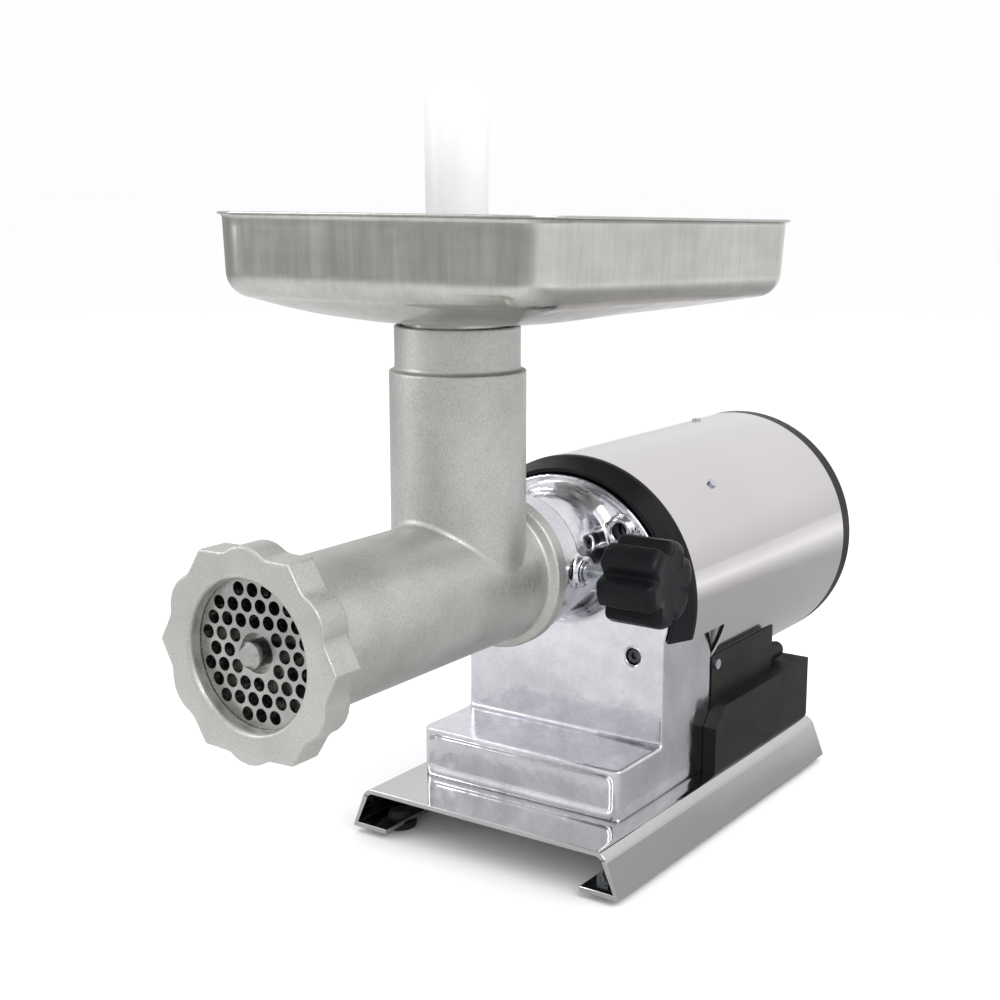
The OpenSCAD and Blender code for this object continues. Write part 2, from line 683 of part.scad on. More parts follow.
module motor_cover() in_frame() color(mirror_steel) difference() {
    yring(drum_r, drum_r - drum_sheet, drum_y, drum_back_y, 0, motor_z);
    pedestal_notch(0.2, housing_back_y + 0.2);
    for (s = drum_screws()) translate([0, s[1], motor_z]) rotate([0, -s[0], 0])
        rotate([0, 90, 0]) cylinder(r = 1.6, h = drum_r + 5);
}

module rear_cap() in_frame() color(black) difference() {
    union() {
        yturn([[0, cap_back_y - cap_wall], [drum_r - cap_wall - 3, cap_back_y - cap_wall],
            [drum_r - cap_wall, cap_back_y - cap_wall - 3], [drum_r - cap_wall, drum_back_y],
            [drum_r - drum_sheet - 2, drum_back_y], [drum_r - drum_sheet - 2, drum_back_y - 7],
            [drum_r - drum_sheet - 0.1, drum_back_y - 7], [drum_r - drum_sheet - 0.1, drum_back_y],
            [drum_r, drum_back_y], for (a = [0:15:90])
                [drum_r - 6 + 6 * cos(a), cap_back_y - 6 + 6 * sin(a)],
            [0, cap_back_y]], 0, motor_z);
        for (a = [0:90:270]) ycyl(post_r, shield_y + shield_t, cap_back_y - cap_wall + 0.1,
            post_radius * cos(a), motor_z + post_radius * sin(a));
    }
    for (a = [0:90:270]) {
        ycyl(1.7, shield_y, cap_back_y + cut, post_radius * cos(a), motor_z + post_radius * sin(a));
        ycyl(3.6, cap_back_y - 2, cap_back_y + cut, post_radius * cos(a), motor_z + post_radius * sin(a));
    }
    for (a = [0:15:345]) translate([0, cap_back_y - 2 * cap_wall, motor_z]) rotate([0, a, 0])
        xz_box(20, 50, 0, 3 * cap_wall, -2, 2);
}

module cap_screws() in_frame() color(zinc) for (a = [0:90:270]) {
    ycyl(1.5, shield_y + 3, cap_back_y - 1.9, post_radius * cos(a), motor_z + post_radius * sin(a));
    ycyl(3.4, cap_back_y - 2, cap_back_y - 0.3, post_radius * cos(a), motor_z + post_radius * sin(a));
}

// ---------- electrical box ----------

// the box drawn in by t all round: a low block with sloping front corners, and a saddle on it
module box_outline(t) {
    low_z = base_h - (t > 0 ? cut : 0);
    slope = box_slope + t * tan(22.5);
    difference() {
        union() {
            translate([box_w / 2 - t, 0, 0]) rotate([90, 0, -90]) linear_extrude(box_w - 2 * t)
                polygon([[-box_y - t, low_z], [-box_back_y + t, low_z], [-box_back_y + t, box_top_z - t],
                    [-box_y - slope, box_top_z - t], [-box_y - t, box_top_z - slope]]);
            xz_box(-saddle_w / 2 + t, saddle_w / 2 - t, housing_back_y + gap + t, saddle_back_y - t,
                low_z, motor_z - 30);
        }
        ycyl(drum_seat_r + t, box_y - cut, box_back_y + cut, 0, motor_z);
        xz_box(-pedestal_w / 2 - gap - t, pedestal_w / 2 + gap + t, box_y - cut,
            housing_back_y + gap + t, 0, motor_z);
    }
}

module electrical_box() in_frame() color(black) difference() {
    box_outline(0);
    box_outline(box_wall);
    xcyl(button_r + 0.3, -box_w / 2 - cut, -box_w / 2 + 2 * box_wall, button_y, rocker_z);
    xz_box(-box_w / 2 - cut, -box_w / 2 + 2 * box_wall, rocker_y - 14, rocker_y + 14,
        rocker_z - 11, rocker_z + 11);
    ycyl(gland_r - 1 + running, saddle_back_y - 2 * box_wall, saddle_back_y + cut, gland_x, gland_z);
}

module box_screws() in_frame() color(zinc) for (s = [-1, 1])
    xcyl(3.2, s > 0 ? saddle_w / 2 : -saddle_w / 2 - 1.5, s > 0 ? saddle_w / 2 + 1.5 : -saddle_w / 2,
        housing_back_y + 6, box_screw_z);

module rocker_bezel() in_frame() color([0.16, 0.16, 0.16]) difference() {
    union() {
        xz_box(-box_w / 2 - 2, -box_w / 2, rocker_y - 17, rocker_y + 17, rocker_z - 14, rocker_z + 14);
        xz_box(-box_w / 2 - 0.1, -box_w / 2 + 16, rocker_y - 13.8, rocker_y + 13.8, rocker_z - 10.8,
            rocker_z + 10.8);
    }
    xz_box(-box_w / 2 - 3, -box_w / 2 + 13, rocker_y - 11.5, rocker_y + 11.5, rocker_z - 8.5, rocker_z + 8.5);
    ycyl(1.5 + running, rocker_y - 13, rocker_y + 13, -box_w / 2 + 3, rocker_z);
}

module power_rocker() in_frame() color([0.1, 0.35, 0.18]) {
    yplate(rocker_y - 11, rocker_y + 11, -box_w / 2 + 3, rocker_z) difference() {
        polygon([[6, -4], [6, 4], [-5.3, 6.9], [-3.6, 0], [-7.1, -6.7]]);
        circle(0.4);
    }
    ycyl(1.5, rocker_y - 12.5, rocker_y + 12.5, -box_w / 2 + 3, rocker_z);
}

module reset_button() in_frame() color([0.5, 0.1, 0.08])
    translate([-box_w / 2 + 10, button_y, rocker_z]) rotate([0, -90, 0]) {
        cylinder(r = button_r, h = 10 + button_rise - 1);
        translate([0, 0, 9 + button_rise]) cylinder(r1 = button_r, r2 = button_r - 1, h = 1);
        cylinder(r = button_r + 1.5, h = 2);
    }

module run_capacitor() in_frame() color([0.85, 0.85, 0.82])
    translate([-30, housing_back_y + 40, base_h + 14.5]) rotate([-90, 0, 0]) {
        cylinder(r = 12, h = 62);
        translate([0, 0, -4]) cylinder(r = 5, h = 5);
    }

module terminal_block() in_frame() color([0.88, 0.86, 0.78]) difference() {
    xz_box(8, 54, box_back_y - 60, box_back_y - 42, base_h, base_h + 16);
    for (i = [0:3]) xz_box(11 + i * 11, 18 + i * 11, box_back_y - 58, box_back_y - 44, base_h + 9, base_h + 17);
}

module cable_gland() in_frame() color(black) difference() {
    union() {
        ycyl(gland_r, saddle_back_y, saddle_back_y + 9, gland_x, gland_z);
        yturn([[0, saddle_back_y + 8.9], [gland_r - 0.5, saddle_back_y + 8.9],
            [gland_r - 0.5, saddle_back_y + gland_len - 4], for (a = [0:30:90])
                [gland_r - 1.5 + cos(a), saddle_back_y + gland_len - 4 + 4 * sin(a)],
            [0, saddle_back_y + gland_len]], gland_x, gland_z);
        ycyl(gland_r - 1, saddle_back_y - 8, saddle_back_y + cut, gland_x, gland_z);
        ycyl(gland_r, saddle_back_y - 8, saddle_back_y - box_wall, gland_x, gland_z);
    }
    ycyl(gland_bore_d / 2, saddle_back_y - 10, saddle_back_y + gland_len + 2, gland_x, gland_z);
}

// ---------- clamp ----------

module clamp_stud() in_frame() color(zinc)
    xcyl(stud_d / 2, spigot_r + gap, knob_x + knob_hub_len + 10, clamp_y, barrel_z);

module knob_outline(r) {
    difference() {
        circle(r);
        for (i = [0:knob_lobes - 1]) rotate(11 + 30 + i * 360 / knob_lobes)
            translate([knob_d / 2 + 1.5, 0]) circle(r = 5.6);
    }
}

module clamp_knob() in_frame() color(black) difference() {
    translate([knob_x, clamp_y, barrel_z]) rotate([90, 0, 90]) {
        cylinder(r = knob_hub_r, h = knob_hub_len + 1);
        translate([0, 0, knob_hub_len]) linear_extrude(knob_len - knob_hub_len - 5) knob_outline(knob_d / 2);
        translate([0, 0, knob_len - 5.01]) linear_extrude(2.5) knob_outline(knob_d / 2 - 1.5);
        translate([0, 0, knob_len - 2.6]) linear_extrude(2.6) knob_outline(knob_d / 2 - 4.5);
    }
    xcyl(stud_d / 2 + running, knob_x - cut, knob_x + knob_hub_len + 11, clamp_y, barrel_z);
}

// ---------- head ----------

module head_body() in_frame() color(cast) difference() {
    union() {
        yturn([[0, mouth_y], [mouth_r - 1, mouth_y], [mouth_r, mouth_y + 1], [mouth_r, mouth_back_y],
            [barrel_r, mouth_back_y + mouth_cone], [barrel_r, socket_y - gap - collar_len - 2],
            [collar_r, socket_y - gap - collar_len], [collar_r, socket_y - gap - 5],
            [collar_r - 1.2, socket_y - gap - 4.4], [collar_r, socket_y - gap - 3.8],
            [collar_r, socket_y - gap - 1], [collar_r - 1, socket_y - gap], [0, socket_y - gap]]);
        ycyl(spigot_r, socket_y - gap - cut, socket_y + spigot_len - 2);
        translate([0, 0, barrel_z]) cylinder(r = neck_od / 2, h = neck_step_z - barrel_z);
        translate([0, 0, neck_step_z - cut]) cylinder(r = spigot_od / 2, h = neck_spigot_h + cut);
    }
    ycyl(plate_d / 2 + 0.2, mouth_y - cut, seat_y);
    ycyl(bore_r, mouth_y - cut, barrel_back_y);
    ycyl(bush_r, barrel_back_y - cut, socket_y + 16);
    ycyl(drive_cavity_r, socket_y + 15.9, socket_y + spigot_len);
    translate([0, 0, barrel_z]) cylinder(r = throat_r, h = neck_top_z);
    translate([0, 0, neck_top_z - sleeve_len - 4]) cylinder(r = sleeve_r + sleeve_play, h = sleeve_len + 10);
    ycyl(2.5, mouth_y - cut, mouth_back_y + 1.2, 0, barrel_z + plate_d / 2);
}

module head_bush() in_frame() color([0.72, 0.52, 0.3])
    yring(bush_r, shank_r + running, barrel_back_y, socket_y + 15.9);

module plate_key() in_frame() color(steel)
    ycyl(2.48, mouth_y + 0.5, mouth_back_y + 1, 0, barrel_z + plate_d / 2);

// grinding holes on a triangular grid, from just outside the hub out to the ring's opening
hub_clear_r = 10.5;
hole_limit_r = ring_opening_d / 2 - 2.6;
grid_turn = 3.4;
function grid_point(i, j) = [plate_pitch * (i + (j % 2 == 0 ? 0 : 0.5)), plate_pitch * sqrt(3) / 2 * j];
function plate_holes() = [for (j = [-4:4], i = [-5:5]) let (p = grid_point(i, j))
    if (norm(p) > hub_clear_r && norm(p) < hole_limit_r) p];

module hole_plate() in_frame() color(steel) difference() {
    ycyl(plate_d / 2, plate_y, seat_y);
    yplate(plate_y - cut, seat_y + cut, 0, barrel_z) rotate(grid_turn)
        for (p = plate_holes()) translate(p) circle(r = plate_hole_d / 2, $fn = 24);
    ycyl(spindle_r + running, plate_y - cut, seat_y + cut);
    ycyl(9.75, plate_y - cut, plate_y + 5);
    ycyl(2.8, plate_y - cut, seat_y + cut, 0, barrel_z + plate_d / 2);
}

module ring_nut_outline() {
    base_r = ring_lug_d / 2 - 5;
    circle(base_r);
    for (i = [0:5]) rotate(60 * i) {
        polygon([[base_r - 8, -9], [base_r * cos(14), -base_r * sin(14)], [ring_lug_d / 2, 0],
            [base_r * cos(14), base_r * sin(14)], [base_r - 8, 9]]);
        rotate(30) translate([ring_lug_d / 2 - 20.5, 0]) circle(r = 18);
    }
}

module ring_nut() in_frame() color(cast) difference() {
    yplate(-ring_reach, ring_len - ring_reach, 0, barrel_z) ring_nut_outline();
    ycyl(ring_opening_d / 2, -ring_reach - cut, plate_y + cut);
    yturn([[0, -ring_reach - cut], [ring_opening_d / 2 + 2.5, -ring_reach - cut],
        [ring_opening_d / 2 + 1.5, -ring_reach], [ring_opening_d / 2, -ring_reach + 2], [0, -ring_reach + 2]]);
    ycyl(ring_bore_r, plate_y, ring_len - ring_reach + cut);
}

module flight_outline() {
    circle(r = 12, $fn = 20);
    polygon(concat([[0, 0]], [for (a = [-24:12:24]) (bore_r - auger_play) * [cos(a), sin(a)]]));
}

module auger() in_frame() color(steel) {
    ycyl(14, auger_front_y, auger_back_y);
    translate([0, auger_back_y, barrel_z]) rotate([90, 0, 0])
        linear_extrude(auger_back_y - auger_front_y, twist = -360 * flight_turns, slices = 12 * flight_turns)
            flight_outline();
    ycyl(shank_r, auger_back_y - cut, socket_y + 18);
    yplate(socket_y + 17.9, socket_y + 37.8, 0, barrel_z) square(tang, center = true);
}

module auger_washer() in_frame() color([0.9, 0.9, 0.86])
    yring(bore_r - 3, shank_r + 0.02, auger_back_y + 0.2, barrel_back_y - 0.2);

module auger_spindle() in_frame() color(steel) {
    yplate(seat_y + 0.1, auger_front_y, 0, barrel_z) square(knife_square, center = true);
    ycyl(spindle_r, plate_y - 5, seat_y + 0.2);
    yturn([[0, plate_y - 7], [spindle_r - 2, plate_y - 7], [spindle_r, plate_y - 4.9], [0, plate_y - 4.9]]);
}

module cutting_knife() in_frame() color(steel) difference() {
    union() {
        ycyl(13, seat_y + 0.1, seat_y + knife_t);
        for (a = rod_angles) yplate(seat_y + 0.1, seat_y + knife_t - 2, 0, barrel_z) rotate(a)
            polygon([[0, -7], [20, -7], [bore_r - 1.5, -4], [bore_r - 1.5, 1], [18, 4], [0, 7]]);
    }
    yplate(seat_y - cut, seat_y + knife_t + cut, 0, barrel_z) square(knife_square + 0.1, center = true);
}

// ---------- tray and stomper ----------

module in_tray() {
    in_frame() translate([0, 0, tray_z]) rotate([-tray_lean, 0, 0]) children();
}

// how far the pan is in from its rim, part of the way round the fillet under its wall
function pan_inset(a, t) = pan_draft + pan_fillet - (pan_fillet - t) * cos(a);

module pan_form(t, top_z) {
    wall_z = tray_h - tray_wall_h;
    y_mid = tray_l / 2 - tray_front;
    hull() {
        translate([0, y_mid, top_z - 0.01]) linear_extrude(0.01)
            rounded_square(tray_w - 2 * t, tray_l - 2 * t, tray_corner - t, $fn = 32);
        for (a = [0:30:90]) translate([0, y_mid, wall_z + pan_fillet - (pan_fillet - t) * sin(a)])
            linear_extrude(0.01) rounded_square(tray_w - 2 * pan_inset(a, t), tray_l - 2 * pan_inset(a, t),
                tray_corner - t, $fn = 32);
        translate([0, y_mid / 2, pan_floor_z + t + 0.31 * (wall_z - pan_floor_z)]) linear_extrude(0.01)
            rounded_square(tray_w / 2 - pan_inset(90, t) + pan_belly_r,
                tray_l / 2 - pan_inset(90, t) + pan_belly_r, pan_belly_r - t, $fn = 32);
        translate([0, 0, pan_floor_z + t]) cylinder(r = pan_belly_r - t, h = 0.01, $fn = 32);
    }
}

module tray_pan() in_tray() color([0.62, 0.62, 0.58]) difference() {
    union() {
        pan_form(0, tray_h);
        translate([0, tray_l / 2 - tray_front, tray_h - tray_sheet]) linear_extrude(tray_sheet)
            rounded_square(tray_w + 2 * lip_out, tray_l + 2 * lip_out, tray_corner + lip_out);
    }
    pan_form(tray_sheet, tray_h + cut);
    translate([0, 0, -cut]) cylinder(r = throat_r + 0.2, h = tray_h);
}

module tray_collar() in_tray() color([0.62, 0.62, 0.58]) difference() {
    union() {
        cylinder(r = collar_wall_r, h = pan_floor_z);
        translate([0, 0, -sleeve_len]) cylinder(r = sleeve_r, h = sleeve_len + cut);
    }
    translate([0, 0, -sleeve_len - cut]) cylinder(r = sleeve_r - sleeve_wall, h = 2 * sleeve_len + 10);
}

module stomper() in_frame() color([0.95, 0.95, 0.94]) {
    foot_z = barrel_z + bore_r + 3;
    foot_h = 70;
    foot_top = foot_z + foot_h;
    translate([0, 0, foot_z]) cylinder(r = throat_r - 1.2, h = foot_h);
    translate([0, 0, foot_top - 0.1]) cylinder(r1 = throat_r - 1.2, r2 = stomper_d / 2 - 1, h = 8);
    dome = stomper_d * 0.42;
    translate([0, 0, foot_top])
        cylinder(r1 = stomper_d / 2 - 1, r2 = stomper_d / 2, h = stomper_top_z - foot_top - dome);
    translate([0, 0, stomper_top_z - dome]) rotate_extrude() polygon(concat([[0, 0]],
        [for (a = [0:6:84]) [stomper_d / 2 * cos(a), dome * sin(a)]], [[0, dome]]));
}

base_plate();
base_feet();
gearbox_housing();
gearbox_cover();
cover_gasket();
housing_bolts();
recess_screws();
oil_plug();
shaft_seal();
output_bearings();
intermediate_bushes();
output_shaft();
output_gear();
output_key();
output_circlip();
intermediate_shaft();
intermediate_gear();
intermediate_pinion();
motor_shaft();
motor_pinion();
rotor_core();
cooling_fan();
motor_bearings();
motor_frame();
stator_core();
stator_windings();
rear_shield();
tie_rods();
motor_front_ring();
motor_cover();
cover_screws();
rear_cap();
cap_screws();
electrical_box();
box_screws();
rocker_bezel();
power_rocker();
reset_button();
run_capacitor();
terminal_block();
cable_gland();
clamp_stud();
clamp_knob();
head_body();
head_bush();
hole_plate();
plate_key();
ring_nut();
auger();
auger_spindle();
auger_washer();
cutting_knife();
tray_pan();
tray_collar();
stomper();
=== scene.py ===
# Looks of the electric meat grinder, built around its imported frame.
import bpy
import bmesh
import json
import math
from mathutils import Matrix, Vector


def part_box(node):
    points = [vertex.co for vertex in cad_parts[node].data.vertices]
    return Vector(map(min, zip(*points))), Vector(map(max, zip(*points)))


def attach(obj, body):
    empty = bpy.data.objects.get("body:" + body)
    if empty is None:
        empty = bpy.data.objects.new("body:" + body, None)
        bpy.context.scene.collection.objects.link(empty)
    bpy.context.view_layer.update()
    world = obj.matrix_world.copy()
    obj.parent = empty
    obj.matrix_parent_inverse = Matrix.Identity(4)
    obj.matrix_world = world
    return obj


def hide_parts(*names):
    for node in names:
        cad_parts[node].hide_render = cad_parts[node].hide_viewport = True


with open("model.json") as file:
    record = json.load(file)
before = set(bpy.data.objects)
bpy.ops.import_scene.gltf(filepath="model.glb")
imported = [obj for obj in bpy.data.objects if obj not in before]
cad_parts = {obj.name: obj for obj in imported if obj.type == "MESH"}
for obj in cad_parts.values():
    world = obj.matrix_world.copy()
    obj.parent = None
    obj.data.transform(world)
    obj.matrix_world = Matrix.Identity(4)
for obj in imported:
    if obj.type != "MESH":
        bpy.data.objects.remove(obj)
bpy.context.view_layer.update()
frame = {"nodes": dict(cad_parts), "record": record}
nodes = frame["nodes"]
MM = 0.001
TAU = 2 * math.pi


def size(node):
    low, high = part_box(node)
    return low, high, (low + high) / 2


# ---------------------------------------------------------------- materials

def new_material(name):
    m = bpy.data.materials.new(name)
    m.use_nodes = True
    nt = m.node_tree
    nt.nodes.clear()
    out = nt.nodes.new("ShaderNodeOutputMaterial")
    b = nt.nodes.new("ShaderNodeBsdfPrincipled")
    nt.links.new(b.outputs["BSDF"], out.inputs["Surface"])
    return m, nt, b


def coords(nt, stretch=(1, 1, 1)):
    tc = nt.nodes.new("ShaderNodeTexCoord")
    mp = nt.nodes.new("ShaderNodeMapping")
    mp.inputs["Scale"].default_value = stretch
    nt.links.new(tc.outputs["Object"], mp.inputs["Vector"])
    return mp.outputs["Vector"]


def noise(nt, vec, scale, detail=3.0, rough=0.55):
    n = nt.nodes.new("ShaderNodeTexNoise")
    n.inputs["Scale"].default_value = scale
    n.inputs["Detail"].default_value = detail
    n.inputs["Roughness"].default_value = rough
    nt.links.new(vec, n.inputs["Vector"])
    return n.outputs["Fac"]


def colours(nt, fac, stops):
    r = nt.nodes.new("ShaderNodeValToRGB")
    els = r.color_ramp.elements
    while len(els) < len(stops):
        els.new(0.5)
    for e, (at, c) in zip(els, stops):
        e.position = at
        e.color = (c[0], c[1], c[2], 1)
    nt.links.new(fac, r.inputs["Fac"])
    return r.outputs["Color"]


def remap(nt, fac, low, high, f0=0.3, f1=0.7):
    r = nt.nodes.new("ShaderNodeMapRange")
    r.inputs["From Min"].default_value = f0
    r.inputs["From Max"].default_value = f1
    r.inputs["To Min"].default_value = low
    r.inputs["To Max"].default_value = high
    nt.links.new(fac, r.inputs["Value"])
    return r.outputs["Result"]


def mix_colour(nt, fac, a, b, mode="MULTIPLY"):
    x = nt.nodes.new("ShaderNodeMix")
    x.data_type = "RGBA"
    x.blend_type = mode
    if isinstance(fac, float):
        x.inputs["Factor"].default_value = fac
    else:
        nt.links.new(fac, x.inputs["Factor"])
    nt.links.new(a, x.inputs["A"])
    nt.links.new(b, x.inputs["B"])
    return x.outputs["Result"]


def bump(nt, height, distance, strength=1.0, below=None):
    b = nt.nodes.new("ShaderNodeBump")
    b.inputs["Strength"].default_value = strength
    b.inputs["Distance"].default_value = distance
    nt.links.new(height, b.inputs["Height"])
    if below is not None:
        nt.links.new(below, b.inputs["Normal"])
    return b.outputs["Normal"]


def grey(v, tint=(1, 1, 1)):
    return (v * tint[0], v * tint[1], v * tint[2])


def metal(name, low, high, rough, blotch=40, fine=900, wave=0.0, grain=0.00002, metallic=1.0):
    """A metal: blotchy tone, varied roughness, fine grain, and a long wave where it is cast."""
    m, nt, b = new_material(name)
    v = coords(nt)
    base = colours(nt, noise(nt, v, blotch, 4), [(0.3, low), (0.7, high)])
    speck = colours(nt, noise(nt, v, fine, 2, 0.7), [(0.35, grey(0.86)), (0.65, grey(1.0))])
    nt.links.new(mix_colour(nt, 1.0, base, speck), b.inputs["Base Color"])
    b.inputs["Metallic"].default_value = metallic
    nt.links.new(remap(nt, noise(nt, v, fine * 0.3, 3), rough[0], rough[1]), b.inputs["Roughness"])
    n = bump(nt, noise(nt, v, fine, 3), grain)
    if wave:
        n = bump(nt, noise(nt, v, 60, 2), wave, below=n)
    nt.links.new(n, b.inputs["Normal"])
    return m


def plastic(name, low, high, rough, grain=0.00002, fine=1500, coat=0.0, blotch=60, specular=0.5):
    m, nt, b = new_material(name)
    v = coords(nt)
    nt.links.new(colours(nt, noise(nt, v, blotch, 4), [(0.3, low), (0.7, high)]), b.inputs["Base Color"])
    nt.links.new(remap(nt, noise(nt, v, blotch * 4, 4), rough[0], rough[1]), b.inputs["Roughness"])
    b.inputs["Coat Weight"].default_value = coat
    b.inputs["Specular IOR Level"].default_value = specular
    nt.links.new(bump(nt, noise(nt, v, fine, 2), grain), b.inputs["Normal"])
    return m


def tinned():
    """Tinned casting: soft grey-green, metallic grains, faint pits."""
    m, nt, b = new_material("tinned_casting")
    v = coords(nt)
    base = colours(nt, noise(nt, v, 28, 5), [(0.3, (0.46, 0.475, 0.44)), (0.7, (0.58, 0.59, 0.56))])
    grain = colours(nt, noise(nt, v, 1100, 3, 0.8), [(0.3, grey(0.66)), (0.5, grey(0.9)), (0.68, grey(1.0))])
    nt.links.new(mix_colour(nt, 1.0, base, grain), b.inputs["Base Color"])
    b.inputs["Metallic"].default_value = 0.78
    nt.links.new(remap(nt, noise(nt, v, 700, 3), 0.34, 0.56), b.inputs["Roughness"])
    n = bump(nt, noise(nt, v, 1100, 3, 0.7), 0.00008, 0.7)
    n = bump(nt, noise(nt, v, 120, 3), 0.0003, 0.6, below=n)
    nt.links.new(n, b.inputs["Normal"])
    return m


def tray_steel():
    """Deep-drawn stainless: satin, fine drawn lines under the rim, clouds and a soft sheen."""
    m, nt, b = new_material("tray_stainless")
    v = coords(nt, (1, 1, 0.07))
    flat = coords(nt, (0.25, 0.25, 1))
    plain = coords(nt)
    base = colours(nt, noise(nt, plain, 12, 3), [(0.3, (0.47, 0.465, 0.43)), (0.7, (0.58, 0.58, 0.55))])
    lines = colours(nt, noise(nt, v, 300, 4, 0.6), [(0.3, grey(0.87)), (0.65, grey(1.0))])
    swirl = colours(nt, noise(nt, flat, 120, 4, 0.6), [(0.3, grey(0.9)), (0.65, grey(1.0))])
    both = mix_colour(nt, 1.0, lines, swirl)
    nt.links.new(mix_colour(nt, 1.0, base, both), b.inputs["Base Color"])
    b.inputs["Metallic"].default_value = 1.0
    nt.links.new(remap(nt, noise(nt, v, 90, 4), 0.18, 0.27), b.inputs["Roughness"])
    n = bump(nt, noise(nt, v, 240, 3), 0.00007, 0.6)
    n = bump(nt, noise(nt, plain, 24, 2), 0.001, 0.6, below=n)
    nt.links.new(n, b.inputs["Normal"])
    return m


def sheet_metal(name, low, high, r0, r1):
    """Polished sheet: even tone, nearly mirror-like, with a trace of the rolling direction."""
    m, nt, b = new_material(name)
    v = coords(nt)
    nt.links.new(colours(nt, noise(nt, v, 7, 3), [(0.3, low), (0.7, high)]), b.inputs["Base Color"])
    b.inputs["Metallic"].default_value = 1.0
    nt.links.new(remap(nt, noise(nt, coords(nt, (1, 0.1, 1)), 60, 3), r0, r1), b.inputs["Roughness"])
    nt.links.new(bump(nt, noise(nt, v, 5, 1), 0.0012, 0.4), b.inputs["Normal"])
    return m


def polished_casting():
    """Polished aluminium: bright, slightly lavender, with the soft dents that polishing leaves."""
    m, nt, b = new_material("polished_casting")
    v = coords(nt)
    base = colours(nt, noise(nt, v, 30, 5), [(0.3, (0.6, 0.595, 0.635)), (0.7, (0.8, 0.79, 0.825))])
    haze = colours(nt, noise(nt, v, 340, 4, 0.7), [(0.3, grey(0.88)), (0.7, grey(1.0))])
    nt.links.new(mix_colour(nt, 1.0, base, haze), b.inputs["Base Color"])
    b.inputs["Metallic"].default_value = 1.0
    nt.links.new(remap(nt, noise(nt, v, 70, 5), 0.07, 0.24), b.inputs["Roughness"])
    n = bump(nt, noise(nt, v, 480, 3), 0.00005, 0.8)
    n = bump(nt, noise(nt, v, 45, 2), 0.0008, 0.6, below=n)
    nt.links.new(n, b.inputs["Normal"])
    return m


def wound_copper():
    m, nt, b = new_material("copper")
    v = coords(nt)
    w = nt.nodes.new("ShaderNodeTexWave")
    w.inputs["Scale"].default_value = 330
    w.inputs["Distortion"].default_value = 3
    w.bands_direction = "DIAGONAL"
    nt.links.new(v, w.inputs["Vector"])
    nt.links.new(colours(nt, w.outputs["Fac"], [(0.1, (0.16, 0.05, 0.015)), (0.7, (0.6, 0.25, 0.09))]),
                 b.inputs["Base Color"])
    b.inputs["Metallic"].default_value = 0.9
    b.inputs["Roughness"].default_value = 0.35
    nt.links.new(bump(nt, w.outputs["Fac"], 0.0004), b.inputs["Normal"])
    return m


def stacked(name, dark, light):
    """Punched laminations, stacked along Y."""
    m, nt, b = new_material(name)
    v = coords(nt)
    w = nt.nodes.new("ShaderNodeTexWave")
    w.inputs["Scale"].default_value = 300
    w.bands_direction = "Y"
    nt.links.new(v, w.inputs["Vector"])
    nt.links.new(colours(nt, w.outputs["Fac"], [(0.2, dark), (0.8, light)]), b.inputs["Base Color"])
    b.inputs["Metallic"].default_value = 0.9
    b.inputs["Roughness"].default_value = 0.42
    nt.links.new(bump(nt, w.outputs["Fac"], 0.0001), b.inputs["Normal"])
    return m


M = {
    "mirror_stainless": sheet_metal("mirror_stainless", (0.5, 0.505, 0.5), (0.56, 0.565, 0.56), 0.035, 0.06),
    "drum_stainless": sheet_metal("drum_stainless", (0.63, 0.61, 0.605), (0.67, 0.65, 0.645), 0.085, 0.115),
    "rubber": plastic("rubber", grey(0.012), grey(0.02), (0.6, 0.8), grain=0.00004, fine=900),
    "polished_casting": polished_casting(),
    "plain_casting": metal("plain_casting", grey(0.42), grey(0.52), (0.4, 0.6), blotch=30, fine=500,
                           wave=0.0002, grain=0.00008, metallic=0.9),
    "gasket": plastic("gasket", (0.05, 0.06, 0.05), (0.08, 0.09, 0.08), (0.6, 0.8), grain=0.00003),
    "zinc": metal("zinc", (0.46, 0.5, 0.55), (0.66, 0.7, 0.75), (0.16, 0.32), blotch=120, fine=1300,
                  grain=0.00003),
    "dark_steel": metal("dark_steel", (0.05, 0.055, 0.06), (0.12, 0.125, 0.13), (0.3, 0.5), blotch=90),
    "bright_steel": metal("bright_steel", (0.34, 0.34, 0.33), (0.48, 0.48, 0.46), (0.2, 0.34), blotch=50,
                          fine=1200),
    "gear_steel": metal("gear_steel", (0.33, 0.33, 0.34), (0.46, 0.46, 0.47), (0.22, 0.4), blotch=60),
    "bronze": metal("bronze", (0.42, 0.26, 0.1), (0.55, 0.36, 0.16), (0.3, 0.45), blotch=70),
    "lamination": stacked("lamination", grey(0.1), (0.32, 0.31, 0.3)),
    "copper": wound_copper(),
    "black_plastic": plastic("black_plastic", (0.006, 0.0065, 0.008), (0.011, 0.012, 0.014), (0.3, 0.42),
                             fine=900, blotch=40, specular=0.12),
    "box_plastic": plastic("box_plastic", (0.006, 0.006, 0.005), (0.012, 0.012, 0.01), (0.3, 0.44),
                           grain=0.00004, fine=1100, blotch=30, specular=0.16),
    "rocker_green": plastic("rocker_green", (0.01, 0.16, 0.05), (0.014, 0.2, 0.065), (0.18, 0.28)),
    "button_red": plastic("button_red", (0.36, 0.02, 0.015), (0.42, 0.03, 0.02), (0.3, 0.4)),
    "capacitor_white": plastic("capacitor_white", (0.68, 0.68, 0.66), (0.76, 0.76, 0.74), (0.25, 0.35)),
    "terminal_cream": plastic("terminal_cream", (0.66, 0.62, 0.5), (0.72, 0.68, 0.56), (0.4, 0.55)),
    "tinned_casting": tinned(),
    "washer_nylon": plastic("washer_nylon", (0.72, 0.72, 0.66), (0.8, 0.8, 0.74), (0.4, 0.5)),
    "tray_stainless": tray_steel(),
    "stomper_white": plastic("stomper_white", (0.8, 0.79, 0.81), grey(0.86), (0.3, 0.42), grain=0.00003,
                             fine=700, blotch=18),
}

